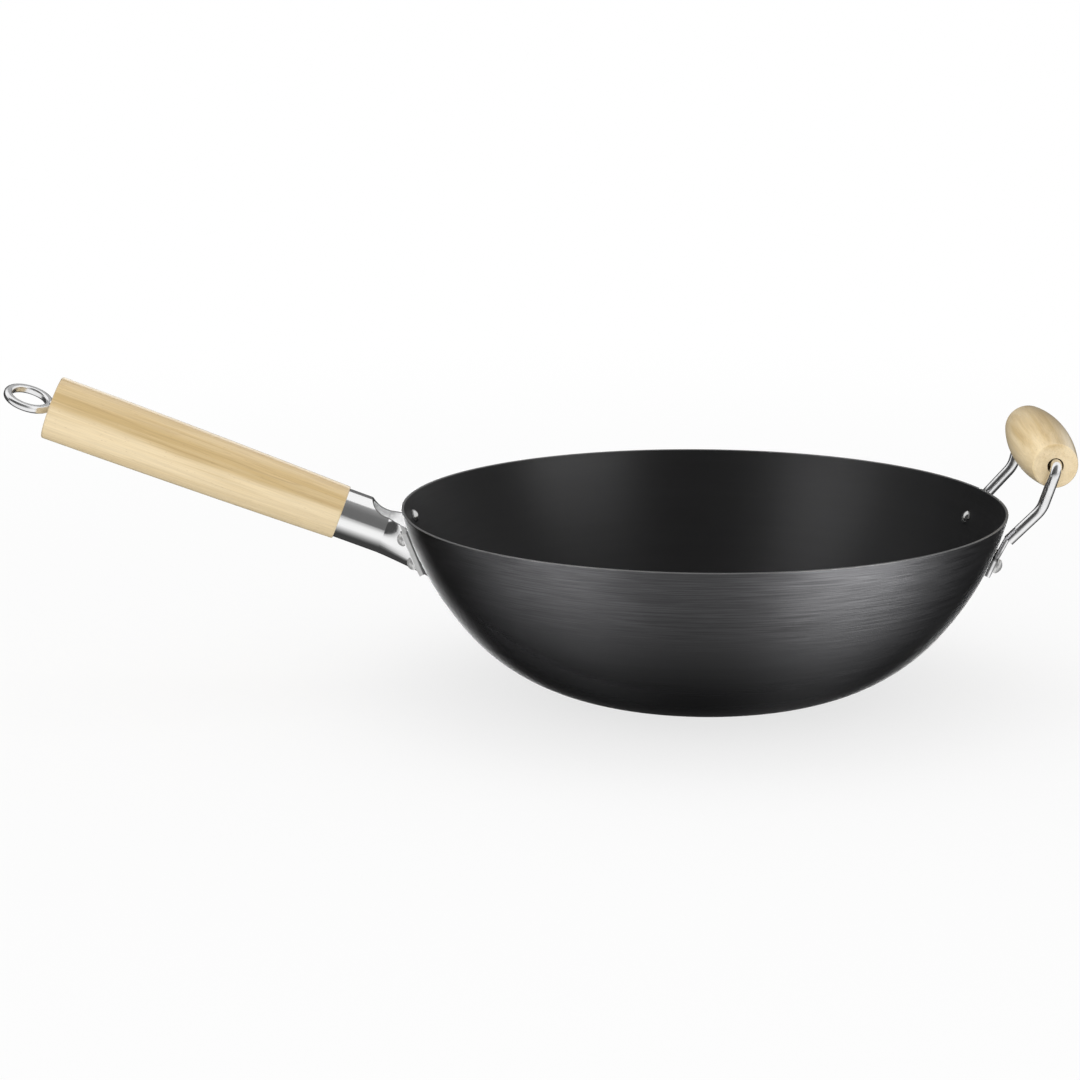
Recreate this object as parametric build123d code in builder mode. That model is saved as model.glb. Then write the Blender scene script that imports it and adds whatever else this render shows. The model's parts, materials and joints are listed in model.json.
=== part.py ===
from build123d import *
import os
from math import asin, cos, degrees, radians, sin, sqrt, tan

os.makedirs("parts", exist_ok=True)

# Carbon steel wok with a long turned handle and a loop handle opposite.
# The origin is the middle of the flat base, +Z is up, +X points at the loop handle.

# Bowl
rim_radius = 175.0
bowl_depth = 106.0
base_radius = 73.5
bowl_sheet = 1.5
side_arc_radius = 169.5
knee_radius_share = 0.783
knee_depth_share = 0.669
base_edge_radius = 14.0
rim_edge_radius = 0.4

# Fits
nest_gap = 0.1
shank_clearance = 0.1
rod_clearance = 0.3
thread_clearance = 0.05
running_clearance = 0.3
overrun = 20.0

# Handle bracket: ferrule tube, flare and flange, pressed from one sheet
handle_rise = 20.5
handle_root_drop = 20.6
ferrule_radius = 14.7
bracket_sheet = 2.0
ferrule_length = 43.8
flare_length = 17.0
flare_width = 44.0
flare_sink = 3.0
flare_sag = 2.5
flare_corner = 7.0
flange_width = 54.0
flange_thickness = 4.0
flange_height = 26.0
flange_drop = 23.7
flange_corner = 4.0
notch_start = 30.0
notch_floor = 8.6
notch_sweep = 11.0

# Rivets
rivet_shank_radius = 2.2
rivet_head_height = 3.4
rivet_head_radius = 3.7
loop_rivet_head_radius = 4.2
inner_head_radius = 3.8
inner_head_height = 2.6
rivet_edge_share = 0.35
bracket_rivet_pitch_across = 46.0
bracket_lean = 3.0
bracket_rivet_pitch_down = 14.6
bracket_rivet_drop = 20.6

# Turned handle
grip_front_radius = 15.9
grip_rear_radius = 18.6
grip_crown = 0.4
handle_length = 177.0
handle_rear_round = 1.2
handle_front_round = 0.9
tenon_length = 11.0

# Tie rod and hanging ring
rod_radius = 2.5
rod_end_chamfer = 0.5
anchor_thickness = 3.0
rod_tip_length = 2.0
ring_radius = 14.6
ring_band = 4.6
ring_height = 4.4
ring_inner_round = 1.2
ring_outer_round = 1.7
ring_roll = -13.0
boss_radius = 3.6
recess_radius = 5.0
recess_depth = 1.5
ring_sink = 0.6
boss_thread_depth = 2.4

# Loop handle
wire_radius = 3.25
loop_yaw = 1.5
loop_roll = 4.0
leg_draw_in = 4.1
loop_rivet_drop = 22.7
shoulder_rise = 15.4
shoulder_stand = 4.2
leg_kink_out = 12.4
leg_kink_height = 31.8
bar_out = 19.4
bar_height = 57.6
kink_radius = 16.0
corner_radius = 5.0
tab_width = 11.5
tab_thickness = 3.2
tab_below = 8.0
tab_above = 9.0
shoulder_inset = 0.4
foot_round_share = 0.4

# Loop grip
grip_radius = 16.9
grip_end_radius = 12.8
grip_length = 91.0
grip_edge_round = 1.6
grip_hang = 1.1
grip_end_room = 5.9
bore_edge_round = 0.6

# Half widths of the loop at its bar and at its legs
bar_half_length = grip_length / 2 + grip_end_room
leg_half_spacing = bar_half_length - leg_draw_in

# The bowl side is one arc in the XZ plane, from the rim down to the knee
rim_point = Vector(rim_radius, 0, bowl_depth)
knee_point = Vector(rim_radius * knee_radius_share, 0, bowl_depth * (1 - knee_depth_share))
side_chord = knee_point - rim_point
side_inward = Vector(side_chord.Z, 0, -side_chord.X).normalized()
side_rise = sqrt(side_arc_radius**2 - (side_chord.length / 2) ** 2)
side_centre = (rim_point + knee_point) / 2 + side_inward * side_rise
rim_slope = degrees(asin((side_centre.Z - rim_point.Z) / side_arc_radius))
knee_slope = degrees(asin((side_centre.Z - knee_point.Z) / side_arc_radius))


def side_slope(drop):
    """Angle below level of the bowl side's normal, drop mm down the wall from the rim."""
    return rim_slope + degrees(drop / side_arc_radius)


def side_point(slope, offset=0.0):
    """Point of the XZ plane on the bowl side, moved out of the wall by offset."""
    reach = side_arc_radius + offset
    return (side_centre.X + reach * cos(radians(slope)), side_centre.Z - reach * sin(radians(slope)))


def wall_plane(azimuth, drop):
    """Plane on the bowl's outer side: x runs round it, y runs up it and z points out of it."""
    slope = radians(side_slope(drop))
    x, z = side_point(side_slope(drop))
    outward = Vector(cos(slope), 0, -sin(slope)).rotate(Axis.Z, azimuth)
    up = Vector(sin(slope), 0, cos(slope)).rotate(Axis.Z, azimuth)
    return Plane(origin=Vector(x, 0, z).rotate(Axis.Z, azimuth), x_dir=up.cross(outward), z_dir=outward)


def revolve_wall_layer(inner, outer, upper_drop, lower_drop):
    """Ring that follows the bowl side between two offsets and two drops below the rim."""
    upper, lower = side_slope(upper_drop), side_slope(lower_drop)
    middle = (upper + lower) / 2
    with BuildSketch(Plane.XZ) as layer:
        with BuildLine():
            ThreePointArc(side_point(upper, inner), side_point(middle, inner), side_point(lower, inner))
            Line(side_point(lower, inner), side_point(lower, outer))
            ThreePointArc(side_point(lower, outer), side_point(middle, outer), side_point(upper, outer))
            Line(side_point(upper, outer), side_point(upper, inner))
        make_face()
    revolve(layer.sketch, axis=Axis.Z)


# Rivet places on the bowl side
def bracket_rivet_planes():
    """Planes of the four bracket rivets on the bowl's outer side."""
    planes = []
    for row in (-1, 1):
        for side in (-1, 1):
            lean = side * bracket_rivet_pitch_across / 2 * tan(radians(bracket_lean))
            drop = bracket_rivet_drop + row * bracket_rivet_pitch_down / 2 + lean
            radius = side_point(side_slope(drop))[0]
            swing = degrees(asin(bracket_rivet_pitch_across / 2 / radius))
            planes.append(wall_plane(180 + side * swing, drop))
    return planes


def loop_drop(side):
    """Drop of one loop rivet below the rim: the loop leans, so one side is lower."""
    return loop_rivet_drop - side * leg_half_spacing * tan(radians(loop_roll))


def loop_rivet_planes():
    """Planes of the two loop rivets on the bowl's outer side."""
    planes = []
    for side in (-1, 1):
        radius = side_point(side_slope(loop_drop(side)))[0]
        swing = degrees(asin(leg_half_spacing / radius))
        planes.append(wall_plane(loop_yaw + side * swing, loop_drop(side)))
    return planes


# Bowl, pressed and spun from one round of sheet
with BuildPart() as wok_bowl:
    with BuildSketch(Plane.XZ) as bowl_profile:
        with BuildLine():
            rim_corner = side_point(rim_slope)
            knee_corner = side_point(knee_slope)
            ThreePointArc(rim_corner, side_point((rim_slope + knee_slope) / 2), knee_corner)
            base_corner = (base_radius, 0)
            down_knee = (-sin(radians(knee_slope)), -cos(radians(knee_slope)))
            TangentArc(knee_corner, base_corner, tangent=down_knee)
            Polyline(base_corner, (0, 0), (0, bowl_depth), rim_corner)
        make_face()
        base_vertices = bowl_profile.vertices().filter_by_position(Axis.X, base_radius, base_radius)
        fillet(base_vertices, radius=base_edge_radius)
    revolve(axis=Axis.Z)
    mouth_face = wok_bowl.faces().sort_by(Axis.Z)[-1]
    offset(amount=-bowl_sheet, openings=mouth_face)
    rim_edges = wok_bowl.faces().sort_by(Axis.Z)[-1].edges()
    fillet(rim_edges, radius=rim_edge_radius)
    for rivet_plane in bracket_rivet_planes() + loop_rivet_planes():
        with Locations(rivet_plane.offset(bowl_sheet)):
            Hole(radius=rivet_shank_radius + shank_clearance, depth=3 * bowl_sheet)
wok_bowl.part.label = "wok_bowl"
export_step(wok_bowl.part, "parts/wok_bowl.step")

# Handle bracket. The handle's own plane has x along the handle, from the wall outwards, and y up
root_slope = radians(side_slope(handle_root_drop))
root_x, root_z = side_point(side_slope(handle_root_drop))
handle_root = Vector(-root_x, 0, root_z)
handle_direction = Vector(-cos(radians(handle_rise)), 0, sin(radians(handle_rise)))
handle_side = Plane(origin=handle_root, x_dir=handle_direction, z_dir=(0, 1, 0))
handle_axis = Axis(handle_root, handle_direction)


def across_handle(distance):
    """Plane square to the handle, distance mm out from the wall: x runs sideways and y up."""
    return Plane(
        origin=handle_root + handle_direction * distance,
        x_dir=(0, -1, 0),
        z_dir=handle_direction,
    )


def draw_ferrule(inset):
    """Solid tube with its flare, from the shoulder to past the wall, thinned by inset."""
    with BuildSketch(across_handle(flare_length)) as tube_section:
        with BuildLine():
            for eighth in range(8):
                CenterArc((0, 0), ferrule_radius - inset, 45 * (eighth - 0.5), 45)
        make_face()
    extrude(tube_section.sketch, amount=ferrule_length - flare_length)
    flare_plane = wall_plane(180, handle_root_drop).offset(-flare_sink)
    with BuildSketch(flare_plane) as wall_section:
        with Locations((0, -flare_sag)):
            RectangleRounded(
                flare_width - 2 * inset,
                2 * (ferrule_radius - inset) / cos(radians(handle_rise) + root_slope),
                flare_corner - inset,
            )
    loft([tube_section.sketch, wall_section.sketch])


# The space that the bowl takes, with the nesting gap: what stands on the wall is cut by it
with BuildPart() as wall_clearance:
    with BuildSketch(Plane.XZ):
        with BuildLine():
            top = side_point(rim_slope, nest_gap)
            low = side_point(knee_slope, nest_gap)
            ThreePointArc(top, side_point((rim_slope + knee_slope) / 2, nest_gap), low)
            Polyline(low, (0, low[1]), (0, top[1]), top)
        make_face()
    revolve(axis=Axis.Z)

with BuildPart() as ferrule_hollow:
    draw_ferrule(bracket_sheet)

with BuildPart() as handle_bracket:
    revolve_wall_layer(
        nest_gap,
        nest_gap + flange_thickness,
        flange_drop - flange_height / 2,
        flange_drop + flange_height / 2,
    )
    with BuildSketch(wall_plane(180, flange_drop)):
        RectangleRounded(flange_width, 2 * flange_height, flange_corner)
    extrude(amount=overrun, both=True, mode=Mode.INTERSECT)
    draw_ferrule(0)
    add(wall_clearance.part, mode=Mode.SUBTRACT)
    add(ferrule_hollow.part, mode=Mode.SUBTRACT)
    with BuildSketch(handle_side):
        with BuildLine():
            notch_low = (notch_start - notch_sweep, notch_floor)
            notch_high = (notch_start, ferrule_radius)
            TangentArc(notch_low, notch_high, tangent=(1, 0))
            Polyline(
                notch_high,
                (notch_start, ferrule_radius + overrun),
                (-overrun, ferrule_radius + overrun),
                (-overrun, notch_floor),
                notch_low,
            )
        make_face()
    extrude(amount=flange_width, both=True, mode=Mode.SUBTRACT)
    for rivet_plane in bracket_rivet_planes():
        with Locations(rivet_plane.offset(2 * flange_thickness)):
            Hole(radius=rivet_shank_radius + shank_clearance, depth=3 * flange_thickness)
handle_bracket.part.label = "handle_bracket"
export_step(handle_bracket.part, "parts/handle_bracket.step")


# Anchor plate welded inside the ferrule, behind the tenon
tenon_tip = ferrule_length - tenon_length
ferrule_bore = ferrule_radius - bracket_sheet
with BuildPart() as rod_anchor:
    with BuildSketch(across_handle(tenon_tip)):
        Circle(ferrule_bore - nest_gap)
        Circle(rod_radius + thread_clearance, mode=Mode.SUBTRACT)
    extrude(amount=-anchor_thickness)
rod_anchor.part.label = "rod_anchor"
export_step(rod_anchor.part, "parts/rod_anchor.step")

# Turned handle with its tenon, its long bore and the recess for the ring's boss
handle_rear = ferrule_length + handle_length
with BuildPart() as wood_handle:
    with BuildSketch(handle_side) as handle_profile:
        with BuildLine():
            front = (ferrule_length, grip_front_radius)
            rear = (handle_rear, grip_rear_radius)
            crown_radius = (grip_front_radius + grip_rear_radius) / 2 + grip_crown
            ThreePointArc(front, ((ferrule_length + handle_rear) / 2, crown_radius), rear)
            Polyline(rear, (handle_rear, 0), (tenon_tip, 0), (tenon_tip, ferrule_bore - nest_gap))
            Polyline(
                (tenon_tip, ferrule_bore - nest_gap),
                (ferrule_length, ferrule_bore - nest_gap),
                front,
            )
        make_face()
        for corner, corner_round in ((rear, handle_rear_round), (front, handle_front_round)):
            fillet(handle_profile.vertices().sort_by_distance(corner)[0], radius=corner_round)
    revolve(axis=handle_axis)
    with Locations(across_handle(handle_rear)):
        CounterBoreHole(
            radius=rod_radius + rod_clearance,
            counter_bore_radius=recess_radius,
            counter_bore_depth=recess_depth,
            depth=handle_length + tenon_length + overrun,
        )
wood_handle.part.label = "wood_handle"
export_step(wood_handle.part, "parts/wood_handle.step")

# Hanging ring with its boss, screwed on the tie rod
ring_centre = handle_rear + ring_radius - ring_sink
rod_end = handle_rear - recess_depth + boss_thread_depth
ring_plane = Plane(
    origin=handle_side.from_local_coords((ring_centre, 0)),
    x_dir=handle_direction,
    z_dir=handle_side.y_dir.rotate(Axis((0, 0, 0), handle_direction), ring_roll),
)
with BuildPart() as hanging_ring:
    with BuildSketch(ring_plane):
        Circle(ring_radius)
        Circle(ring_radius - ring_band, mode=Mode.SUBTRACT)
    extrude(amount=ring_height / 2, both=True)
    for place, ring_round in ((0, ring_inner_round), (-1, ring_outer_round)):
        ring_edges = hanging_ring.edges().filter_by(GeomType.CIRCLE)
        fillet(ring_edges.group_by(SortBy.RADIUS)[place], radius=ring_round)
    with BuildSketch(across_handle(handle_rear - recess_depth)):
        Circle(boss_radius)
    extrude(amount=recess_depth - ring_sink + ring_band / 2)
    with BuildSketch(across_handle(handle_rear - recess_depth)):
        Circle(rod_radius + thread_clearance)
    extrude(amount=boss_thread_depth, mode=Mode.SUBTRACT)
hanging_ring.part.label = "hanging_ring"
export_step(hanging_ring.part, "parts/hanging_ring.step")

# Tie rod through the handle, from the anchor plate to the ring
rod_start = tenon_tip - anchor_thickness - rod_tip_length
with BuildPart() as tie_rod:
    with BuildSketch(across_handle(rod_start)):
        Circle(rod_radius)
    extrude(amount=rod_end - rod_start)
    chamfer(tie_rod.edges().filter_by(GeomType.CIRCLE), length=rod_end_chamfer)
tie_rod.part.label = "tie_rod"
export_step(tie_rod.part, "parts/tie_rod.step")


# Rivets: a button head outside and a lower one inside
def draw_head(radius, seat, tip):
    """Outline of a head, from its seat up a short edge and over an arc to its tip."""
    edge_height = seat + (tip - seat) * rivet_edge_share
    crown = abs(tip - edge_height)
    crown_radius = (radius**2 + crown**2) / (2 * crown)
    half_turn = asin(radius / crown_radius) / 2
    sink = crown_radius * (1 - cos(half_turn)) * (tip - seat) / abs(tip - seat)
    Line((radius, seat), (radius, edge_height))
    ThreePointArc((radius, edge_height), (crown_radius * sin(half_turn), tip - sink), (0, tip))


def write_rivet(name, plane, seat, head_radius):
    """Rivet through the bowl side, its outer head standing on a seat above the wall."""
    across = Plane(origin=plane.origin, x_dir=plane.x_dir, z_dir=-plane.y_dir)
    inner_seat = -bowl_sheet - nest_gap
    with BuildPart() as rivet:
        with BuildSketch(across) as section:
            with BuildLine():
                Line((0, seat + rivet_head_height), (0, inner_seat - inner_head_height))
                draw_head(inner_head_radius, inner_seat, inner_seat - inner_head_height)
                Polyline(
                    (inner_head_radius, inner_seat),
                    (rivet_shank_radius, inner_seat),
                    (rivet_shank_radius, seat),
                    (head_radius, seat),
                )
                draw_head(head_radius, seat, seat + rivet_head_height)
            make_face()
        revolve(section.sketch, axis=Axis(plane.origin, plane.z_dir))
    rivet.part.label = name
    export_step(rivet.part, f"parts/{name}.step")


bracket_seat = nest_gap + flange_thickness + nest_gap
for number, plane in enumerate(bracket_rivet_planes(), start=1):
    write_rivet(f"bracket_rivet_{number}", plane, bracket_seat, rivet_head_radius)
tab_seat = nest_gap + tab_thickness + nest_gap
for number, plane in enumerate(loop_rivet_planes(), start=1):
    write_rivet(f"loop_rivet_{number}", plane, tab_seat, loop_rivet_head_radius)

# Loop handle bent from round wire. Its own frame has x away from the bowl, z up
loop_origin = Vector(0, 0, side_point(side_slope(loop_rivet_drop))[1])
loop_frame = Plane(
    origin=loop_origin,
    x_dir=Vector(1, 0, 0).rotate(Axis.Z, loop_yaw),
    z_dir=Vector(0, 0, 1).rotate(Axis.X, loop_roll).rotate(Axis.Z, loop_yaw),
)


def loop_point(out, side, height):
    """Point of the loop's own frame: how far past the rim, to one side and above the rivets."""
    return loop_frame.from_local_coords(Vector(rim_radius + out, side, height))


def leg_foot(side):
    """Middle of the wire's lower end, which stands off the wall above its rivet."""
    radius, height = side_point(side_slope(loop_drop(side) - shoulder_rise), shoulder_stand)
    reach = sqrt(radius**2 - leg_half_spacing**2)
    return Vector(reach, side * leg_half_spacing, height).rotate(Axis.Z, loop_yaw)


# Flattened feet of the loop, pressed to the bowl's curve
with BuildPart() as loop_feet:
    revolve_wall_layer(
        nest_gap,
        nest_gap + tab_thickness,
        loop_rivet_drop - 2 * tab_above,
        loop_rivet_drop + 2 * tab_below,
    )
    with BuildSketch(*loop_rivet_planes()):
        with Locations((0, (tab_above - tab_below) / 2)):
            SlotOverall(tab_above + tab_below, tab_width, rotation=90)
    extrude(amount=overrun, both=True, mode=Mode.INTERSECT)

with BuildPart() as helper_loop:
    with BuildLine() as loop_path:
        FilletPolyline(
            leg_foot(-1),
            loop_point(leg_kink_out, -leg_half_spacing, leg_kink_height),
            loop_point(bar_out, -bar_half_length, bar_height),
            loop_point(bar_out, bar_half_length, bar_height),
            loop_point(leg_kink_out, leg_half_spacing, leg_kink_height),
            leg_foot(1),
            radius=[kink_radius, corner_radius, corner_radius, kink_radius],
        )
    wire_start = Plane(origin=loop_path.wire() @ 0, z_dir=loop_path.wire() % 0)
    wire_finish = Plane(origin=loop_path.wire() @ 1, z_dir=-(loop_path.wire() % 1))
    with BuildSketch(wire_start):
        Circle(wire_radius)
    sweep()
    for foot, wire_end in zip(loop_rivet_planes(), (wire_start, wire_finish)):
        neck_place = (0, tab_above - tab_thickness, nest_gap + tab_thickness / 2)
        neck = Plane(
            origin=foot.from_local_coords(neck_place),
            x_dir=foot.x_dir,
            z_dir=foot.y_dir,
        )
        shoulder = Plane(origin=wire_end.origin, x_dir=foot.x_dir, z_dir=wire_end.z_dir)
        with BuildSketch(neck) as neck_section:
            RectangleRounded(tab_width, tab_thickness, tab_thickness * foot_round_share)
        with BuildSketch(shoulder) as shoulder_section:
            with Locations((0, wire_radius - tab_thickness / 2 - shoulder_inset)):
                RectangleRounded(2 * wire_radius, tab_thickness, tab_thickness * foot_round_share)
        loft([neck_section.sketch, shoulder_section.sketch])
    add(wall_clearance.part, mode=Mode.SUBTRACT)
    add(loop_feet.part)
    for foot in loop_rivet_planes():
        with Locations(foot.offset(2 * tab_thickness)):
            Hole(radius=rivet_shank_radius + shank_clearance, depth=3 * tab_thickness)
helper_loop.part.label = "helper_loop"
export_step(helper_loop.part, "parts/helper_loop.step")

# Turned grip that hangs loosely on the loop's bar and spins on it
grip_middle = loop_point(bar_out, 0, bar_height - grip_hang)
grip_half = grip_length / 2
grip_plane = Plane(origin=grip_middle, x_dir=loop_frame.y_dir, z_dir=loop_frame.x_dir)
bore_radius = wire_radius + running_clearance + grip_hang
with BuildPart() as helper_grip:
    with BuildSketch(grip_plane) as grip_profile:
        with BuildLine():
            ThreePointArc((-grip_half, grip_end_radius), (0, grip_radius), (grip_half, grip_end_radius))
            Polyline(
                (grip_half, grip_end_radius),
                (grip_half, bore_radius),
                (-grip_half, bore_radius),
                (-grip_half, grip_end_radius),
            )
        make_face()
        rings = grip_profile.vertices().group_by(Axis.Y)
        fillet(rings[-1], radius=grip_edge_round)
        fillet(rings[0], radius=bore_edge_round)
    revolve(axis=Axis(grip_middle, grip_plane.x_dir))
helper_grip.part.label = "helper_grip"
export_step(helper_grip.part, "parts/helper_grip.step")
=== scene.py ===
import json
import math
from typing import NamedTuple

import bpy
from bpy.props import FloatProperty, FloatVectorProperty, PointerProperty
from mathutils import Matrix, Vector


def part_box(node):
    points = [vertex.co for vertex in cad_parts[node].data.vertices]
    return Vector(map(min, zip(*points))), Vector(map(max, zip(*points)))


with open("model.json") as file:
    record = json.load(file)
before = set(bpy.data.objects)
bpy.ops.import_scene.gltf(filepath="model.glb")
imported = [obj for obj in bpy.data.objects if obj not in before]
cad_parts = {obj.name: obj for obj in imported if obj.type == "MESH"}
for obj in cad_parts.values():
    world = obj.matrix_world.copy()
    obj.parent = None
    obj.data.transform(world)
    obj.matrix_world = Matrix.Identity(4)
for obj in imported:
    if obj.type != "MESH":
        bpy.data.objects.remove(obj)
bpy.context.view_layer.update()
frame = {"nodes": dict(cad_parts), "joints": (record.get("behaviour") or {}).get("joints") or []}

bl_info = {
    "name": "Carbon Steel Wok",
    "version": (1, 0, 0),
    "blender": (4, 5, 0),
    "location": "View3D > Sidebar > Wok",
    "description": "Gives each piece of a carbon steel wok its finish and sets up the studio",
    "category": "Object",
}

NODES = frame["nodes"]


# Places and directions that the finishes follow, worked out from the frame
def middle_of(node):
    """Middle of a CAD node's box."""
    low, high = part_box(node)
    return (Vector(low) + Vector(high)) / 2


RIM_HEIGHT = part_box("wok_bowl")[1][2]
RIM_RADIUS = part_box("wok_bowl")[1][0]
HANDLE_FRONT = middle_of("rod_anchor")
HANDLE_ALONG = (middle_of("tie_rod") - HANDLE_FRONT).normalized()
RIVETS = sorted((middle_of(node) for node in NODES if node.startswith("bracket_rivet")), key=lambda m: m.z)
RIVETS_MIDDLE = sum(RIVETS, Vector()) / len(RIVETS)
WALL_UP = (RIVETS[-1] + RIVETS[-2] - RIVETS[0] - RIVETS[1]).normalized()
WALL_OUT = WALL_UP.cross(Vector((0.0, 1.0, 0.0))).normalized()
GRIP_ALONG = Vector(frame["joints"][0]["axis"]).normalized()
LOOP_RIVET = middle_of("loop_rivet_1")

# Where a finish or a painted shade starts and ends, in metres: heights, then distances out from a rivet or an
# edge
RIM_EDGE = (RIM_HEIGHT - 0.0006, RIM_HEIGHT - 0.0002)
# The loop's feet get painted shade below the top limit, where they meet the wall, and on their outer faces
FOOT_TOP = (LOOP_RIVET.z + 0.007, LOOP_RIVET.z + 0.010)
FOOT_SEAM_SHADE = (-0.0004, 0.0006)
FOOT_FACE_SHADE = (0.0011, 0.0015)
FLANGE_STEP = (-0.0002, 0.0002)
# The flange gets a painted shadow line where it meets the wall
FLANGE_SEAM_SHADE = (-0.0030, -0.0023)

# Shares of the brushed wall's height between which its lines grow strong
STEEP_SHARES = (0.25, 0.75)

# Values of a soft noise between which its pattern grows from none to full
SHARP = (0.3, 0.7)
SOFT = (0.2, 0.8)
STREAKS = (0.35, 0.70)
FIGURE = (0.52, 0.66)
GRAIN = (0.35, 0.65)
PORES = (0.70, 0.77)
CLOUDS = (0.3, 0.8)

# How fine the metals' unevenness is, in patterns per metre
PLATING_CLOUDS = 160.0
STEEL_CLOUDS = 420.0
STEEL_PITS = 1400.0

# Where the floor changes its tone in reflections, in metres: across the scene, then out from the middle
FAR_FLOOR = (-0.9, -0.15)
# The floor's painted shadow, seen only in reflections, lies past the first limit and outside the second
FLOOR_BEHIND = (-0.13, 0.0)
FLOOR_OUTSIDE = (0.17, 0.21)

# Where the room seen in reflections changes its tone, as the sideways part of the direction
DARK_SIDE = (-0.5, 0.0)
PANEL_BLUR = 0.2

# Width of the camera's sensor in millimetres, and how far it sees in metres
SENSOR_WIDTH = 36.0
SIGHT_REACH = 100.0


class Lamp(NamedTuple):
    """Soft box for sheen or for soft light, on one node or, where none is named, on all.

    Its angles are in degrees, its power in watts and its sizes in metres.
    """

    name: str
    azimuth: float
    elevation: float
    power: float
    width: float
    height: float
    sheen: bool
    only: str = ""


LAMPS = (
    Lamp("right_box", 51, 9, 155.0, 1.5, 0.9, True, "wok_bowl"),
    Lamp("left_box", -48, 21, 52.0, 1.0, 0.9, True, "wok_bowl"),
    Lamp("right_edge_box", 168, -12, 75.0, 0.7, 0.9, True, "wok_bowl"),
    Lamp("left_edge_box", -168, -12, 80.0, 0.7, 0.9, True, "wok_bowl"),
    Lamp("inner_box", -68, 32, 46.0, 1.0, 0.9, True, "wok_bowl"),
    Lamp("grip_fill", -105, 15, 24.0, 1.0, 1.0, False, "helper_grip"),
    Lamp("notch_fill", 10, 55, 55.0, 0.8, 0.8, False, "handle_bracket"),
    Lamp("under_fill", 180, -60, 14.0, 1.0, 1.0, False, "wood_handle"),
    Lamp("handle_edge_box", 180, 20, 6.0, 1.6, 0.9, True, "wood_handle"),
    Lamp("front_fill", 0, 4, 9.0, 1.4, 0.5, False),
    Lamp("top_lamp", 180, 75, 4.0, 1.4, 1.4, False),
)


class WokBowlSettings(bpy.types.PropertyGroup):
    """Finish of the blackened bowl."""

    side_colour: FloatVectorProperty(
        name="Side Colour", description="Steel of the brushed side, near the rim",
        subtype="COLOR", min=0.0, max=1.0, default=(0.058, 0.058, 0.060),
    )
    # Painted shade, partly: the side darkens towards the base, as the steel's own darker base and as shade
    # for the shadowed floor the lower wall reflects
    shaded_base_colour: FloatVectorProperty(
        name="Base Colour", description="Darker steel towards the base",
        subtype="COLOR", min=0.0, max=1.0, default=(0.011, 0.011, 0.0113),
    )
    inside_colour: FloatVectorProperty(
        name="Inside Colour", description="Steel of the smooth inside",
        subtype="COLOR", min=0.0, max=1.0, default=(0.015, 0.015, 0.0155),
    )
    rim_colour: FloatVectorProperty(
        name="Rim Colour", description="Bare steel on the cut edge of the rim",
        subtype="COLOR", min=0.0, max=1.0, default=(0.12, 0.12, 0.12),
    )
    roughness: FloatProperty(
        name="Roughness", description="Roughness of the brushed side", min=0.0, max=1.0, default=0.477,
    )
    roughness_swing: FloatProperty(
        name="Roughness Swing", description="How far the roughness rises and falls across the lines",
        min=0.0, max=1.0, default=0.05,
    )
    shaded_share: FloatProperty(
        name="Dark Share", description="Share of the height, from below, that has the base's colour",
        subtype="FACTOR", min=0.0, max=1.0, default=0.15,
    )
    line_contrast: FloatProperty(
        name="Line Contrast", description="How much stronger the lines are on the steep outside",
        min=0.0, max=1.0, default=0.44,
    )
    plain_contrast: FloatProperty(
        name="Plain Contrast", description="Contrast of the lines inside and near the base",
        min=0.0, max=1.0, default=0.04,
    )
    line_pitch: FloatProperty(
        name="Line Pitch", description="Distance between brush lines down the wall",
        subtype="DISTANCE", unit="LENGTH", default=0.0006,
    )
    line_length: FloatProperty(
        name="Line Length", description="Length of a brush line round the bowl",
        subtype="DISTANCE", unit="LENGTH", default=0.03,
    )


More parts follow.
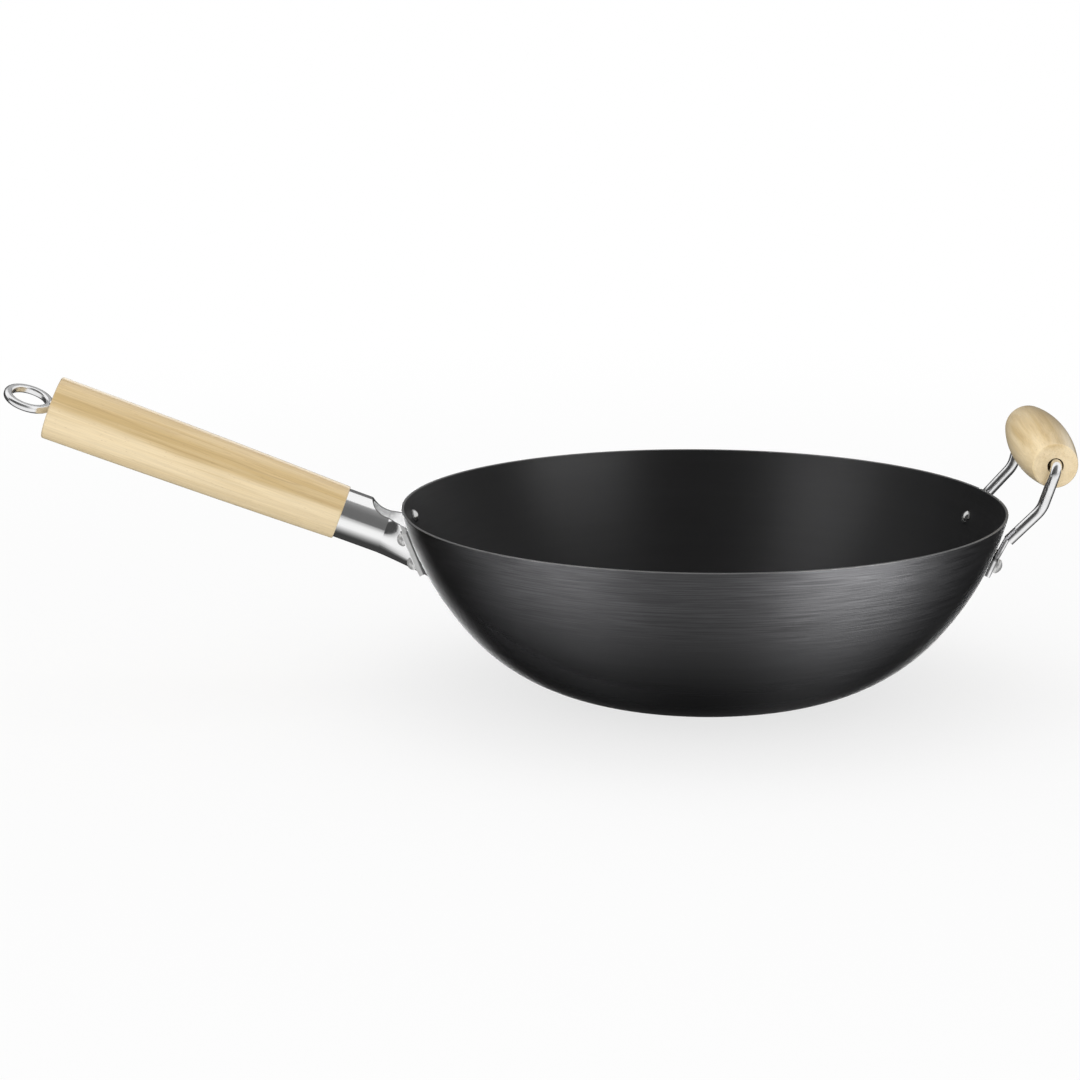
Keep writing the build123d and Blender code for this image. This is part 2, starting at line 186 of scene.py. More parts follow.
class WokWoodSettings(bpy.types.PropertyGroup):
    """Finish of the turned wood."""

    # Cream below and gold on top are partly the wood's own streaks and partly painted light and shade: the
    # lower half lighter where the floor lights it, the upper half darker
    light_colour: FloatVectorProperty(
        name="Light Wood", description="Palest wood", subtype="COLOR",
        min=0.0, max=1.0, default=(0.84, 0.68, 0.425),
    )
    dark_colour: FloatVectorProperty(
        name="Dark Wood", description="Wood of the darker streaks", subtype="COLOR",
        min=0.0, max=1.0, default=(0.615, 0.44, 0.20),
    )
    pore_colour: FloatVectorProperty(
        name="Pores", description="Wood of the open pores", subtype="COLOR",
        min=0.0, max=1.0, default=(0.40, 0.25, 0.12),
    )
    streak_width: FloatProperty(
        name="Streak Width", description="Width of a streak across the grain",
        subtype="DISTANCE", unit="LENGTH", default=0.0035,
    )
    streak_length: FloatProperty(
        name="Streak Length", description="Length of a streak along the grain",
        subtype="DISTANCE", unit="LENGTH", default=0.11,
    )
    # Where the wood turns from cream to gold by height: partly its own streaks, partly painted shade on the
    # upper half
    shaded_layer_blend: FloatProperty(
        name="Layer Blend", description="Thickness in which the cream wood turns to gold",
        subtype="DISTANCE", unit="LENGTH", default=0.007,
    )
    shaded_layer_wave: FloatProperty(
        name="Layer Wave", description="How far the layers wander across the handle",
        subtype="DISTANCE", unit="LENGTH", default=0.018,
    )
    gold_shade_share: FloatProperty(
        name="Gold Share", description="Share of the dark wood in the gold layer",
        subtype="FACTOR", min=0.0, max=1.0, default=0.72,
    )
    streak_share: FloatProperty(
        name="Streak Share", description="Share of the dark wood that the streaks add",
        subtype="FACTOR", min=0.0, max=1.0, default=0.34,
    )
    figure_share: FloatProperty(
        name="Figure Share", description="Share of the pores' colour in the gold layer's figure",
        subtype="FACTOR", min=0.0, max=1.0, default=0.26,
    )
    pore_share: FloatProperty(
        name="Pore Share", description="Share of the pores' colour in an open pore",
        subtype="FACTOR", min=0.0, max=1.0, default=0.5,
    )
    grain_and_shade_tilt: FloatProperty(
        name="Grain Tilt", description="How much the layers rise along the handle", default=-0.02,
    )
    handle_gold_shade: FloatProperty(
        name="Handle Gold", description="Where the gold wood starts, up from the handle's middle",
        subtype="DISTANCE", unit="LENGTH", default=-0.002,
    )
    grip_gold_shade: FloatProperty(
        name="Grip Gold", description="Where the gold wood starts, up from the grip's middle",
        subtype="DISTANCE", unit="LENGTH", default=0.008,
    )


class WokMetalSettings(bpy.types.PropertyGroup):
    """Finish of the bright metal."""

    bright_colour: FloatVectorProperty(
        name="Bright Plating", description="Plated wire and ring", subtype="COLOR",
        min=0.0, max=1.0, default=(0.90, 0.90, 0.905),
    )
    clouded_colour: FloatVectorProperty(
        name="Clouded Plating", description="Plating where it is slightly clouded", subtype="COLOR",
        min=0.0, max=1.0, default=(0.81, 0.81, 0.8145),
    )
    ferrule_colour: FloatVectorProperty(
        name="Ferrule", description="Polished steel of the ferrule", subtype="COLOR",
        min=0.0, max=1.0, default=(0.90, 0.90, 0.90),
    )
    flange_colour: FloatVectorProperty(
        name="Flange", description="Pale matte steel of the flange", subtype="COLOR",
        min=0.0, max=1.0, default=(0.37, 0.37, 0.367),
    )
    rivet_colour: FloatVectorProperty(
        name="Rivets", description="Satin steel of the rivets", subtype="COLOR",
        min=0.0, max=1.0, default=(0.60, 0.60, 0.595),
    )
    inside_colour: FloatVectorProperty(
        name="Ferrule Inside", description="Pale plating inside the ferrule", subtype="COLOR",
        min=0.0, max=1.0, default=(0.85, 0.85, 0.85),
    )
    flange_edge: FloatProperty(
        name="Flange Edge", description="Distance from the rivets' middle to the flange's outer face",
        subtype="DISTANCE", unit="LENGTH", default=0.0018,
    )
    # Painted shadow: a dark line on the flange where it meets the wall
    flange_seam_shade: FloatProperty(
        name="Flange Seam", description="Brightness left where the flange meets the wall",
        subtype="FACTOR", min=0.0, max=1.0, default=0.2,
    )
    # Painted shade on the loop's feet: darker where they meet the wall and on their outer faces
    foot_seam_shade: FloatProperty(
        name="Foot Seam", description="Brightness left where the loop's feet meet the wall",
        subtype="FACTOR", min=0.0, max=1.0, default=0.12,
    )
    foot_face_shade: FloatProperty(
        name="Foot Face", description="Brightness left on the outer faces of the loop's feet",
        subtype="FACTOR", min=0.0, max=1.0, default=0.4,
    )
    polish_pitch: FloatProperty(
        name="Polish Pitch", description="Distance between the polishing lines round the ferrule",
        subtype="DISTANCE", unit="LENGTH", default=0.0004,
    )
    polish_length: FloatProperty(
        name="Polish Length", description="Length of a polishing line along the ferrule",
        subtype="DISTANCE", unit="LENGTH", default=0.03,
    )


class WokStageSettings(bpy.types.PropertyGroup):
    """Camera, floor and lights."""

    camera_place: FloatVectorProperty(
        name="Camera Place", description="Where the camera stands", subtype="TRANSLATION",
        unit="LENGTH", default=(-0.09466, -1.740, 0.46902),
    )
    camera_pitch: FloatProperty(
        name="Camera Pitch", description="How far the camera looks down", subtype="ANGLE",
        unit="ROTATION", default=0.2170,
    )
    camera_lens: FloatProperty(
        name="Lens", description="Focal length in millimetres", default=102.275,
    )
    floor_radius: FloatProperty(
        name="Floor Radius", description="Radius of the round floor", subtype="DISTANCE",
        unit="LENGTH", default=30.0,
    )
    floor_colour: FloatVectorProperty(
        name="Floor Colour", description="Paint of the floor that takes the shadow",
        subtype="COLOR", min=0.0, max=1.0, default=(0.90, 0.90, 0.90),
    )
    floor_glow: FloatProperty(
        name="Floor Glow", description="Share of plain white in the floor near the wok", default=0.75,
    )
    shadow_reach: FloatProperty(
        name="Shadow Reach", description="Distance from the wok where the floor starts to fade to white",
        subtype="DISTANCE", unit="LENGTH", default=0.45,
    )
    ambient: FloatProperty(
        name="Ambient", description="Strength of the even light from all round", default=0.90,
    )
    room_grey: FloatProperty(
        name="Room Grey", description="Brightness of the room behind the camera, in reflections",
        default=0.142,
    )
    left_grey: FloatProperty(
        name="Left Grey", description="Brightness of the room at the left, in reflections", default=0.06,
    )
    # Painted shadow: the floor behind the wok is dark in reflections alone
    gap_shadow_grey: FloatProperty(
        name="Gap Grey", description="Brightness of the floor behind the wok, in reflections", default=0.05,
    )
    far_floor_grey: FloatProperty(
        name="Far Floor Grey", description="Brightness of the floor far in front, in reflections",
        default=0.55,
    )
    soft_box_near: FloatProperty(
        name="Soft Box Near", description="Near edge of the soft box overhead, up from behind the camera",
        subtype="ANGLE", unit="ROTATION", default=math.radians(77),
    )
    soft_box_far: FloatProperty(
        name="Soft Box Far", description="Far edge of the soft box overhead, up from behind the camera",
        subtype="ANGLE", unit="ROTATION", default=math.radians(140),
    )
    panel_edge: FloatProperty(
        name="Panel Edge", description="How far round to the right the white panel starts", default=0.45,
    )
    edge_blur: FloatProperty(
        name="Edge Blur", description="Softness of the edges of box and panel", default=0.03,
    )
    lamp_reach: FloatProperty(
        name="Lamp Reach", description="Distance of the lamps from the wok", subtype="DISTANCE",
        unit="LENGTH", default=1.9,
    )


# Small helpers for node trees
class Finish:
    """A material under construction: its node tree, its shader, its object coordinates and its normal."""

    def __init__(self, name, **sockets):
        self.material = bpy.data.materials.new(name)
        self.material.use_nodes = True
        self.tree = self.material.node_tree
        self.shader = self.tree.nodes["Principled BSDF"]
        for socket, value in sockets.items():
            self.shader.inputs[socket.replace("_", " ").title().replace("Ior", "IOR")].default_value = value
        coordinates = self.add("ShaderNodeTexCoord").outputs
        self.place = coordinates["Object"]
        self.normal = coordinates["Normal"]

    def add(self, kind, **settings):
        """A new node with its settings."""
        made = self.tree.nodes.new(kind)
        for key, value in settings.items():
            setattr(made, key, value)
        return made

    def feed(self, socket, source):
        """Puts a value or another node's output into a socket."""
        if isinstance(source, bpy.types.NodeSocket):
            self.tree.links.new(source, socket)
        else:
            socket.default_value = source

    def sum(self, operation, *sources, clamp=False):
        """One output worked out from up to three numbers."""
        made = self.add("ShaderNodeMath", operation=operation, use_clamp=clamp)
        for socket, source in zip(made.inputs, sources):
            self.feed(socket, source)
        return made.outputs[0]

    def vector(self, operation, *sources):
        """One output worked out from vectors."""
        made = self.add("ShaderNodeVectorMath", operation=operation)
        for socket, source in zip(made.inputs, sources):
            self.feed(socket, source)
        return made.outputs["Value" if operation in ("DOT_PRODUCT", "LENGTH") else "Vector"]

    def parts(self, source):
        """The three numbers of a vector."""
        made = self.add("ShaderNodeSeparateXYZ")
        self.feed(made.inputs[0], source)
        return made.outputs

    def level_place(self):
        """Object coordinates without their height, so that they point away from the bowl's axis."""
        return self.vector("MULTIPLY", self.place, (1.0, 1.0, 0.0))

    def noise(self, place, scale, detail=2.0, roughness=0.5, distortion=0.0):
        """Soft noise from 0 to 1."""
        made = self.add("ShaderNodeTexNoise")
        self.feed(made.inputs["Vector"], place)
        self.feed(made.inputs["Scale"], scale)
        self.feed(made.inputs["Detail"], detail)
        self.feed(made.inputs["Roughness"], roughness)
        self.feed(made.inputs["Distortion"], distortion)
        return made.outputs["Fac"]

    def spread(self, source, low, high, to_low=0.0, to_high=1.0):
        """Smooth step of a number between two limits."""
        made = self.add("ShaderNodeMapRange", interpolation_type="SMOOTHSTEP")
        for socket, value in zip(made.inputs, (source, low, high, to_low, to_high)):
            self.feed(socket, value)
        return made.outputs[0]

    def blend(self, share, first, second):
        """Colour between two others."""
        made = self.add("ShaderNodeMix", data_type="RGBA")
        self.feed(made.inputs["Factor"], share)
        for socket, colour in ((made.inputs[6], first), (made.inputs[7], second)):
            self.feed(socket, colour if isinstance(colour, bpy.types.NodeSocket) else (*colour, 1.0))
        return made.outputs[2]

    def scaled(self, colour, factor):
        """Colour times a number."""
        made = self.vector("SCALE", colour)
        self.feed(made.node.inputs["Scale"], factor)
        return made

    def bump(self, height, strength, distance):
        """Feeds a height into the shader's normal."""
        made = self.add("ShaderNodeBump")
        self.feed(made.inputs["Strength"], strength)
        self.feed(made.inputs["Distance"], distance)
        self.feed(made.inputs["Height"], height)
        self.feed(self.shader.inputs["Normal"], made.outputs["Normal"])


def stretch(finish, along, short, long):
    """Coordinates in which a pattern of size 1 is long metres along an axis and short metres across it."""
    turned = finish.add("ShaderNodeMapping", vector_type="POINT")
    finish.feed(turned.inputs["Vector"], finish.place)
    turned.inputs["Rotation"].default_value = along.to_track_quat("X", "Z").inverted().to_euler()
    sized = finish.add("ShaderNodeMapping", vector_type="POINT")
    finish.feed(sized.inputs["Vector"], turned.outputs["Vector"])
    sized.inputs["Scale"].default_value = (1 / long, 1 / short, 1 / short)
    return sized.outputs["Vector"]


def round_bowl(finish, place, length, pitch):
    """Coordinates in which a pattern of size 1 is length metres round the bowl and pitch metres down it."""
    made = finish.add("ShaderNodeCombineXYZ")
    for socket, source, size in zip(made.inputs, place, (length, length, pitch)):
        finish.feed(socket, finish.sum("DIVIDE", source, size))
    return made.outputs[0]


def dress(node, finish):
    """Gives a CAD node its material, by its object's slots."""
    piece = NODES[node]
    if not piece.material_slots:
        piece.data.materials.append(finish.material)
    for slot in piece.material_slots:
        slot.material = finish.material


# Finishes
def brushed_bowl_steel(look):
    """Blackened steel with fine lines from the lathe, darker to the base (partly its own darker steel, partly
    painted shade), bare on the rim's edge.
    """
    finish = Finish("brushed_bowl_steel", anisotropic=0.75, specular_ior_level=0.15)
    finish.shader.inputs["Anisotropic Rotation"].default_value = 0.25
    finish.shader.inputs["Specular Tint"].default_value = (0.35, 0.35, 0.35, 1.0)
    x, y, z = finish.parts(finish.place)
    flat = finish.level_place()
    radius = finish.vector("LENGTH", flat)
    wall = (x, y, finish.sum("ADD", radius, z))
    line_place = round_bowl(finish, wall, look.line_length, look.line_pitch)
    lines = finish.noise(line_place, 1.0, detail=4.0, roughness=0.6)
    broad = finish.noise(round_bowl(finish, wall, 4 * look.line_length, 12 * look.line_pitch), 1.0)
    # Painted shade, partly: the side's colour darkens towards the base over the lower part of the wall
    height = finish.spread(z, look.shaded_share * RIM_HEIGHT, RIM_HEIGHT)
    outside = finish.blend(height, tuple(look.shaded_base_colour), tuple(look.side_colour))
    outward = finish.sum("DIVIDE", finish.vector("DOT_PRODUCT", finish.normal, flat),
                         finish.sum("MAXIMUM", radius, RIM_RADIUS / 100))
    facing = finish.sum("SUBTRACT", outward, finish.parts(finish.normal)["Z"])
    is_outside = finish.sum("GREATER_THAN", facing, 0.0)
    body = finish.blend(is_outside, tuple(look.inside_colour), outside)
    steep = finish.sum("MULTIPLY", is_outside, finish.spread(height, *STEEP_SHARES))
    contrast = finish.sum("MULTIPLY_ADD", steep, look.line_contrast, look.plain_contrast)
    brushed = finish.sum("SUBTRACT", finish.spread(lines, *SHARP), 0.5)
    shade = finish.sum("MULTIPLY_ADD", brushed, contrast, 1.0)
    shade = finish.sum("MULTIPLY", shade, finish.spread(broad, *SOFT, 0.97, 1.03))
    rim = finish.spread(z, *RIM_EDGE)
    finish.feed(finish.shader.inputs["Base Color"],
                finish.blend(rim, finish.scaled(body, shade), tuple(look.rim_colour)))
    finish.feed(finish.shader.inputs["Metallic"],
                finish.sum("MULTIPLY", is_outside, finish.sum("SUBTRACT", 1.0, rim)))
    swing = look.roughness_swing
    finish.feed(finish.shader.inputs["Roughness"],
                finish.spread(lines, *SOFT, look.roughness - swing, look.roughness + swing))
    tangent = finish.add("ShaderNodeTangent", direction_type="RADIAL", axis="Z")
    finish.feed(finish.shader.inputs["Tangent"], tangent.outputs[0])
    finish.bump(lines, strength=0.2, distance=0.0002)
    return finish


def turned_wood(name, look, middle, along, gold_shade_from):
    """Pale sanded wood: gold on top over cream below, partly its own streaks and partly painted shade on top
    and painted light below, with fine grain and a few pores, all along the turning.
    """
    finish = Finish(name, specular_ior_level=0.4, coat_weight=1.0, coat_roughness=0.2)
    finish.place = finish.vector("SUBTRACT", finish.place, tuple(middle))
    upright = Vector((0.0, 0.0, 1.0))
    across = (upright - along * along.dot(upright)).normalized()

    def pattern(width_share, length_share, **settings):
        """Soft noise along the turning, sized in shares of a streak's width and length."""
        place = stretch(finish, along, width_share * look.streak_width, length_share * look.streak_length)
        return finish.noise(place, 1.0, **settings)

    # Painted shade, partly: gold towards the top of the turning and cream below, by height across it with a
    # wandering edge
    depth = finish.vector("DOT_PRODUCT", finish.place, tuple(across + look.grain_and_shade_tilt * along))
    wave = finish.sum("SUBTRACT", pattern(3, 1, detail=1.0), 0.5)
    shaded_layer = finish.sum("MULTIPLY_ADD", wave, look.shaded_layer_wave, depth)
    gold = finish.spread(shaded_layer, gold_shade_from, gold_shade_from + look.shaded_layer_blend)
    streak = finish.spread(pattern(1, 1, detail=3.0, distortion=0.5), *STREAKS)
    golden_shade = finish.sum("MULTIPLY", gold, look.gold_shade_share)
    shade = finish.sum("MULTIPLY_ADD", streak, look.streak_share, golden_shade, clamp=True)
    colour = finish.blend(shade, tuple(look.light_colour), tuple(look.dark_colour))
    figure = finish.spread(pattern(1 / 2, 1 / 2, distortion=1.4), *FIGURE)
    figure = finish.sum("MULTIPLY", figure, finish.sum("MULTIPLY", gold, look.figure_share))
    colour = finish.blend(figure, colour, tuple(look.pore_colour))
    fine = pattern(1 / 5, 1 / 3, detail=4.0, roughness=0.6)
    grained = finish.scaled(colour, finish.spread(fine, *GRAIN, 0.925, 1.02))
    pores = finish.spread(pattern(1 / 8, 1 / 30, detail=1.0), *PORES)
    share = finish.sum("MULTIPLY", pores, look.pore_share)
    finish.feed(finish.shader.inputs["Base Color"], finish.blend(share, grained, tuple(look.pore_colour)))
    finish.feed(finish.shader.inputs["Roughness"], finish.spread(fine, *SOFT, 0.36, 0.50))
    finish.bump(finish.sum("SUBTRACT", fine, pores), strength=0.08, distance=0.0002)
    return finish


def bright_plating(look):
    """Plated wire: mirror bright, slightly clouded, with painted shade where the loop's feet lie against the
    wall and on their outer faces.
    """
    finish = Finish("bright_plating", metallic=1.0)
    cloud = finish.noise(finish.place, PLATING_CLOUDS, detail=3.0)
    finish.feed(finish.shader.inputs["Roughness"], finish.spread(cloud, *SHARP, 0.20, 0.24))
    clouded = finish.blend(finish.spread(cloud, *CLOUDS),
                           tuple(look.bright_colour), tuple(look.clouded_colour))
    radius = finish.vector("LENGTH", finish.level_place())
    height = finish.parts(finish.place)["Z"]
    outward = abs(WALL_OUT.x)
    reach = finish.sum("MULTIPLY_ADD", radius, outward, finish.sum("MULTIPLY", height, WALL_OUT.z))
    rivet_reach = LOOP_RIVET.xy.length * outward + LOOP_RIVET.z * WALL_OUT.z
    from_rivet = finish.sum("SUBTRACT", reach, rivet_reach)
    # Painted shade: darker where the feet meet the wall and on their outer faces
    seam_shade = finish.spread(from_rivet, *FOOT_SEAM_SHADE, look.foot_seam_shade, 1.0)
    on_foot = finish.spread(height, *FOOT_TOP, 1.0, 0.0)
    face_shade = finish.sum("MULTIPLY", finish.spread(from_rivet, *FOOT_FACE_SHADE), on_foot)
    face_shade = finish.sum("MULTIPLY_ADD", face_shade, look.foot_face_shade - 1.0, 1.0)
    finish.feed(finish.shader.inputs["Base Color"],
                finish.scaled(clouded, finish.sum("MULTIPLY", seam_shade, face_shade)))
    finish.bump(cloud, strength=0.02, distance=0.0001)
    return finish


def rivet_steel(look):
    """Pale satin steel, slightly uneven, polished on the heads that look into the bowl."""
    finish = Finish("rivet_steel")
    outward = finish.vector("DOT_PRODUCT", finish.level_place(), finish.normal)
    inward = finish.sum("LESS_THAN", outward, 0.0)
    cloud = finish.noise(finish.place, STEEL_CLOUDS, detail=4.0, roughness=0.6)
    finish.feed(finish.shader.inputs["Base Color"],
                finish.scaled(tuple(look.rivet_colour), finish.spread(cloud, *SHARP, 0.88, 1.08)))
    finish.feed(finish.shader.inputs["Metallic"], finish.spread(inward, 0.0, 1.0, 0.5, 1.0))
    dull = finish.spread(cloud, *SOFT, 0.25, 0.38)
    polish = finish.sum("MULTIPLY", inward, 0.14)
    finish.feed(finish.shader.inputs["Roughness"], finish.sum("SUBTRACT", dull, polish))
    finish.bump(finish.noise(finish.place, STEEL_PITS), strength=0.06, distance=0.0001)
    return finish


def bracket_steel(look):
    """Ferrule polished along its length, with a matte flange at the wall, a painted shadow line where the
    flange meets the wall, and a pale inside.
    """
    finish = Finish("bracket_steel")
    offset = finish.vector("SUBTRACT", finish.place, tuple(HANDLE_FRONT))
    out = finish.vector("DOT_PRODUCT", offset, tuple(HANDLE_ALONG))
    along_normal = finish.vector("DOT_PRODUCT", finish.normal, tuple(HANDLE_ALONG))
    away = finish.sum("SUBTRACT", finish.vector("DOT_PRODUCT", offset, finish.normal),
                      finish.sum("MULTIPLY", out, along_normal))
    from_rivets = finish.vector("SUBTRACT", finish.place, tuple(RIVETS_MIDDLE))
    from_wall = finish.vector("DOT_PRODUCT", from_rivets, tuple(WALL_OUT))
    past_flange = finish.spread(from_wall, *(look.flange_edge + limit for limit in FLANGE_STEP))
    tube = finish.sum("MULTIPLY", past_flange, finish.sum("GREATER_THAN", away, 0.0))
    line_place = stretch(finish, HANDLE_ALONG, look.polish_pitch, look.polish_length)
    lines = finish.noise(line_place, 1.0, detail=3.0)
    cloud = finish.noise(finish.place, STEEL_CLOUDS, detail=4.0, roughness=0.6)
    pale = finish.blend(past_flange, tuple(look.flange_colour), tuple(look.inside_colour))
    # Painted shadow line where the flange meets the wall, over the steel's uneven tone
    seam_shade_limits = (look.flange_edge + limit for limit in FLANGE_SEAM_SHADE)
    seam_shade = finish.spread(from_wall, *seam_shade_limits, look.flange_seam_shade, 1.0)
    clouded_and_shaded = finish.scaled(pale, finish.sum("MULTIPLY", seam_shade, finish.spread(cloud, *SHARP, 0.88, 1.0)))
    finish.feed(finish.shader.inputs["Base Color"], finish.blend(tube, clouded_and_shaded, tuple(look.ferrule_colour)))
    polished = finish.spread(lines, *SOFT, 0.11, 0.18)
    dull = finish.spread(cloud, *SOFT, 0.28, 0.42)
    share = finish.add("ShaderNodeMix", data_type="FLOAT")
    for socket, source in zip((share.inputs[0], share.inputs[2], share.inputs[3]), (tube, dull, polished)):
        finish.feed(socket, source)
    finish.feed(finish.shader.inputs["Roughness"], share.outputs[0])
    flange_metal = finish.spread(past_flange, 0.0, 1.0, 0.4, 0.0)
    finish.feed(finish.shader.inputs["Metallic"], finish.sum("MAXIMUM", tube, flange_metal))
    finish.bump(lines, strength=0.05, distance=0.0001)
    return finish


# Operators, one for each piece or group of like pieces, and one for the stage
class WOK_OT_finish_bowl(bpy.types.Operator):
    """Give the bowl its brushed, blackened steel"""

    bl_idname = "wok.finish_bowl"
    bl_label = "Finish Bowl"

    def execute(self, context):
        dress("wok_bowl", brushed_bowl_steel(context.scene.wok_bowl))
        return {"FINISHED"}


class WOK_OT_finish_bracket(bpy.types.Operator):
    """Give the handle bracket its polished ferrule and matte flange"""

    bl_idname = "wok.finish_bracket"
    bl_label = "Finish Bracket"

    def execute(self, context):
        dress("handle_bracket", bracket_steel(context.scene.wok_metal))
        return {"FINISHED"}


class WOK_OT_finish_rivets(bpy.types.Operator):
    """Give the rivets, the anchor plate and the tie rod their plain steel"""

    bl_idname = "wok.finish_rivets"
    bl_label = "Finish Rivets"

    def execute(self, context):
        steel = rivet_steel(context.scene.wok_metal)
        for node in NODES:
            if "rivet" in node or node in ("rod_anchor", "tie_rod"):
                dress(node, steel)
        return {"FINISHED"}


class WOK_OT_finish_handle(bpy.types.Operator):
    """Give the long handle its turned wood"""

    bl_idname = "wok.finish_handle"
    bl_label = "Finish Handle"

    def execute(self, context):
        look = context.scene.wok_wood
        dress("wood_handle",
              turned_wood("handle_wood", look, middle_of("wood_handle"), HANDLE_ALONG, look.handle_gold_shade))
        return {"FINISHED"}


class WOK_OT_finish_grip(bpy.types.Operator):
    """Give the loop grip its turned wood"""

    bl_idname = "wok.finish_grip"
    bl_label = "Finish Grip"

    def execute(self, context):
        look = context.scene.wok_wood
        dress("helper_grip",
              turned_wood("grip_wood", look, middle_of("helper_grip"), GRIP_ALONG, look.grip_gold_shade))
        return {"FINISHED"}


class WOK_OT_finish_wire(bpy.types.Operator):
    """Give the loop handle and the hanging ring their bright plating"""

    bl_idname = "wok.finish_wire"
    bl_label = "Finish Loop and Ring"

    def execute(self, context):
        plating = bright_plating(context.scene.wok_metal)
        for node in ("helper_loop", "hanging_ring"):
            dress(node, plating)
        return {"FINISHED"}


def light_world(look):
    """Plain white for the camera, even soft light, and a studio to be seen in reflections."""
    world = bpy.data.worlds.new("studio_world")
    world.use_nodes = True
    tree = world.node_tree
    tree.nodes.clear()

    def add(kind, *sources, **settings):
        """New node whose first sockets take values or other outputs."""
        made = tree.nodes.new(kind)
        for key, value in settings.items():
            setattr(made, key, value)
        for socket, source in zip(made.inputs, sources):
            if isinstance(source, bpy.types.NodeSocket):
                tree.links.new(source, socket)
            else:
                socket.default_value = source
        return made

    def edge(number, low, high, to_low=0.0, to_high=1.0):
        """Soft step between two limits."""
        made = add("ShaderNodeMapRange", number, low, high, to_low, to_high, interpolation_type="SMOOTHSTEP")
        return made.outputs[0]

    def beyond(angle):
        """1 past a level line across the sky, at an angle up from the horizon behind the camera."""
        across = (0.0, math.sin(angle), math.cos(angle))
        reach = add("ShaderNodeVectorMath", place, across, operation="DOT_PRODUCT").outputs["Value"]
        return edge(reach, -look.edge_blur, look.edge_blur)

    place = add("ShaderNodeTexCoord").outputs["Generated"]
    path = add("ShaderNodeLightPath").outputs
    aside = add("ShaderNodeSeparateXYZ", place).outputs["X"]
    not_far = add("ShaderNodeMath", 1.0, beyond(look.soft_box_far), operation="SUBTRACT").outputs[0]
    soft_box = add("ShaderNodeMath", beyond(look.soft_box_near), not_far, operation="MULTIPLY").outputs[0]
    room = edge(aside, *DARK_SIDE, look.left_grey, look.room_grey)
    panel = edge(aside, look.panel_edge - PANEL_BLUR, look.panel_edge + PANEL_BLUR)
    bright = add("ShaderNodeMath", soft_box, panel, operation="MAXIMUM").outputs[0]
    studio = add("ShaderNodeMix", bright, data_type="FLOAT")
    tree.links.new(room, studio.inputs[2])
    studio.inputs[3].default_value = 1.0
    light = add("ShaderNodeMix", path["Is Glossy Ray"], data_type="FLOAT")
    light.inputs[2].default_value = look.ambient
    tree.links.new(studio.outputs[0], light.inputs[3])
    seen = add("ShaderNodeMath", path["Is Camera Ray"], path["Is Transmission Ray"], operation="MAXIMUM")
    strength = add("ShaderNodeMath", seen.outputs[0], light.outputs[0], operation="MAXIMUM")
    background = add("ShaderNodeBackground", (1.0, 1.0, 1.0, 1.0), strength.outputs[0])
    add("ShaderNodeOutputWorld", background.outputs[0])
    bpy.context.scene.world = world


def add_lamp(lamp, reach):
    """Area light for a lamp, which looks at the wok from its reach and lights its own nodes alone."""
    data = bpy.data.lights.new(lamp.name, "AREA")
    data.shape = "RECTANGLE"
    data.size = lamp.width
    data.size_y = lamp.height
    data.energy = lamp.power
    light = bpy.data.objects.new(lamp.name, data)
    azimuth, elevation = math.radians(lamp.azimuth), math.radians(lamp.elevation)
    level = math.cos(elevation)
    away = Vector((math.sin(azimuth) * level, -math.cos(azimuth) * level, math.sin(elevation)))
    target = Vector((0.0, 0.0, RIM_HEIGHT / 2))
    light.location = target + away * reach
    light.rotation_euler = (-away).to_track_quat("-Z", "Y").to_euler()
    light.visible_camera = False
    light.visible_glossy = lamp.sheen
    light.visible_diffuse = not lamp.sheen
    if lamp.only:
        lit = bpy.data.collections.new(lamp.name + "_lit")
        lit.objects.link(NODES[lamp.only])
        light.light_linking.receiver_collection = lit
        light.light_linking.blocker_collection = lit
    bpy.context.scene.collection.objects.link(light)


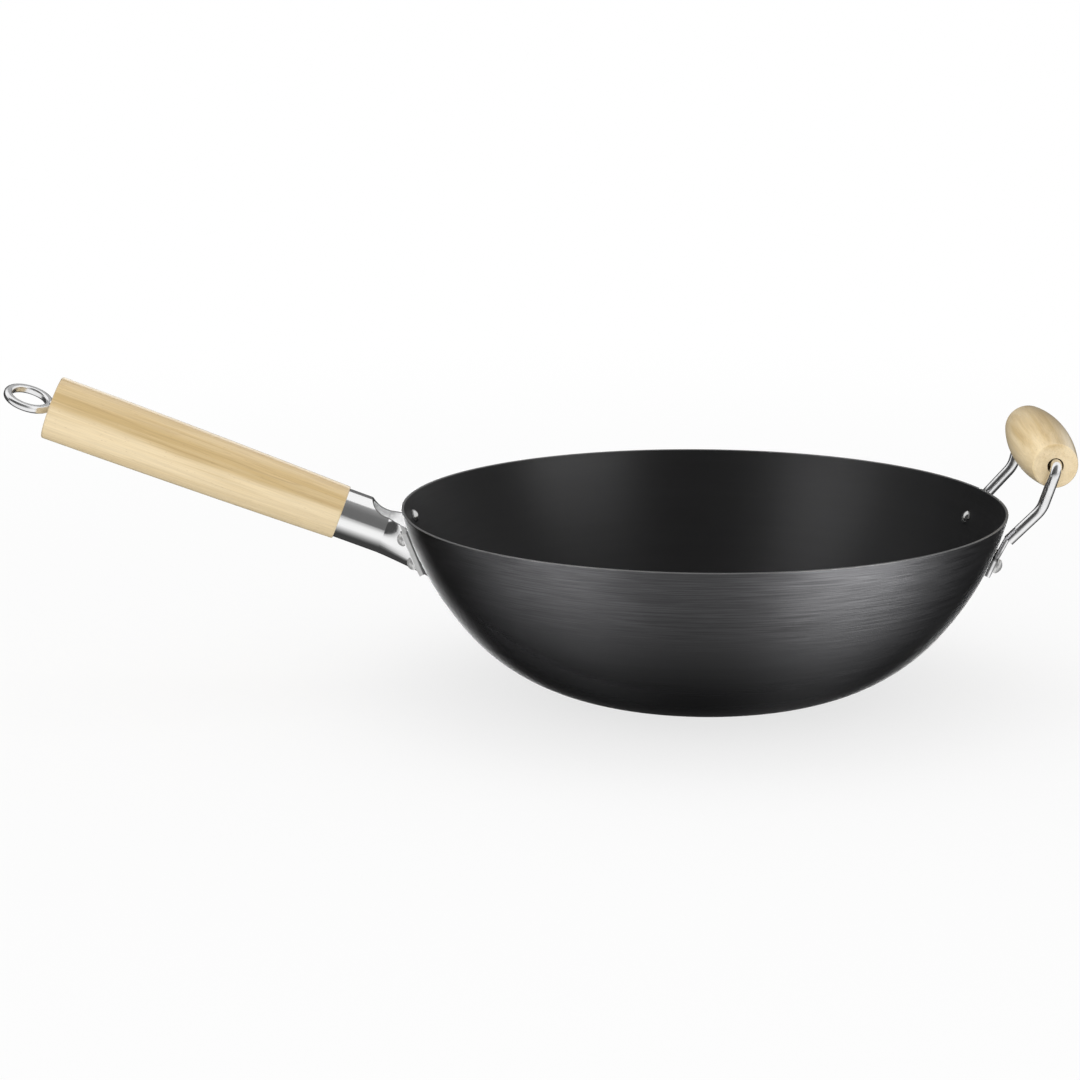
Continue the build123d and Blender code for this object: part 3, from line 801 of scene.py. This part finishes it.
def lay_floor(look):
    """Round pale floor that keeps the shadow, is white far out, and has its own tones in reflections, with a
    painted shadow behind the wok in them.
    """
    corners = 64
    turn = math.tau / corners
    ring = [(look.floor_radius * math.cos(i * turn), look.floor_radius * math.sin(i * turn), 0.0)
            for i in range(corners)]
    mesh = bpy.data.meshes.new("floor")
    mesh.from_pydata(ring, [], [tuple(range(corners))])
    floor = bpy.data.objects.new("floor", mesh)
    bpy.context.scene.collection.objects.link(floor)
    paint = (*look.floor_colour, 1.0)
    finish = Finish("pale_floor", base_color=paint, roughness=0.9, specular_ior_level=0.0)
    path = finish.add("ShaderNodeLightPath").outputs
    glossy = path["Is Glossy Ray"]
    seen = finish.sum("MAXIMUM", path["Is Camera Ray"], path["Is Transmission Ray"])
    seen = finish.sum("MAXIMUM", seen, glossy)
    across = finish.parts(finish.place)["Y"]
    away = finish.vector("LENGTH", finish.place)
    # Painted shadow, seen only in reflections: the floor behind the wok, outside the bowl, turns dark
    behind = finish.sum("MULTIPLY", finish.spread(across, *FLOOR_BEHIND), finish.spread(away, *FLOOR_OUTSIDE))
    shine = finish.spread(across, *FAR_FLOOR, look.far_floor_grey, 1.0)
    shine = finish.sum("MULTIPLY_ADD", behind, look.gap_shadow_grey - 1.0, shine)
    shine = finish.sum("MAXIMUM", shine, look.gap_shadow_grey)
    dimmed = finish.sum("MULTIPLY", glossy, finish.sum("SUBTRACT", 1.0, shine))
    glow = finish.add("ShaderNodeEmission")
    finish.feed(glow.inputs["Strength"], finish.sum("SUBTRACT", 1.0, dimmed))
    glow_share = finish.spread(away, look.shadow_reach, 3 * look.shadow_reach, look.floor_glow, 1.0)
    glow_share = finish.sum("MAXIMUM", glow_share, glossy)
    mix = finish.add("ShaderNodeMixShader")
    layers = (finish.sum("MULTIPLY", seen, glow_share), finish.shader.outputs[0], glow.outputs[0])
    for socket, source in zip(mix.inputs, layers):
        finish.feed(socket, source)
    finish.feed(finish.tree.nodes["Material Output"].inputs["Surface"], mix.outputs[0])
    mesh.materials.append(finish.material)


def place_camera(look):
    """Camera at the photograph's angle."""
    lens = bpy.data.cameras.new("camera")
    lens.sensor_width = SENSOR_WIDTH
    lens.lens = look.camera_lens
    lens.clip_end = SIGHT_REACH
    camera = bpy.data.objects.new("camera", lens)
    camera.location = look.camera_place
    camera.rotation_euler = (math.pi / 2 - look.camera_pitch, 0.0, 0.0)
    bpy.context.scene.collection.objects.link(camera)
    bpy.context.scene.camera = camera


class WOK_OT_set_stage(bpy.types.Operator):
    """Lay the floor, place the camera and light the wok"""

    bl_idname = "wok.set_stage"
    bl_label = "Set Stage"

    def execute(self, context):
        look = context.scene.wok_stage
        lay_floor(look)
        light_world(look)
        for lamp in LAMPS:
            add_lamp(lamp, look.lamp_reach)
        place_camera(look)
        context.scene.view_settings.view_transform = "Standard"
        return {"FINISHED"}


class WOK_PT_panel(bpy.types.Panel):
    """Lists the finishes and the stage"""

    bl_label = "Wok"
    bl_idname = "WOK_PT_panel"
    bl_space_type = "VIEW_3D"
    bl_region_type = "UI"
    bl_category = "Wok"

    def draw(self, context):
        for operator in OPERATORS:
            self.layout.operator(operator.bl_idname)
        for name in SETTINGS:
            group = getattr(context.scene, name)
            box = self.layout.box()
            for item in group.bl_rna.properties:
                if not item.is_readonly:
                    box.prop(group, item.identifier)


SETTINGS = {
    "wok_bowl": WokBowlSettings,
    "wok_wood": WokWoodSettings,
    "wok_metal": WokMetalSettings,
    "wok_stage": WokStageSettings,
}
OPERATORS = (
    WOK_OT_finish_bowl,
    WOK_OT_finish_bracket,
    WOK_OT_finish_rivets,
    WOK_OT_finish_handle,
    WOK_OT_finish_grip,
    WOK_OT_finish_wire,
    WOK_OT_set_stage,
)


def register():
    """Registers the settings, the operators and the panel."""
    for name, group in SETTINGS.items():
        bpy.utils.register_class(group)
        setattr(bpy.types.Scene, name, PointerProperty(type=group))
    for item in (*OPERATORS, WOK_PT_panel):
        bpy.utils.register_class(item)


def unregister():
    """Takes them away again."""
    for item in reversed((*OPERATORS, WOK_PT_panel)):
        bpy.utils.unregister_class(item)
    for name, group in SETTINGS.items():
        delattr(bpy.types.Scene, name)
        bpy.utils.unregister_class(group)


def main():
    """Runs every operator in order."""
    register()
    bpy.ops.wok.finish_bowl()
    bpy.ops.wok.finish_bracket()
    bpy.ops.wok.finish_rivets()
    bpy.ops.wok.finish_handle()
    bpy.ops.wok.finish_grip()
    bpy.ops.wok.finish_wire()
    bpy.ops.wok.set_stage()


if __name__ == "__main__":
    main()
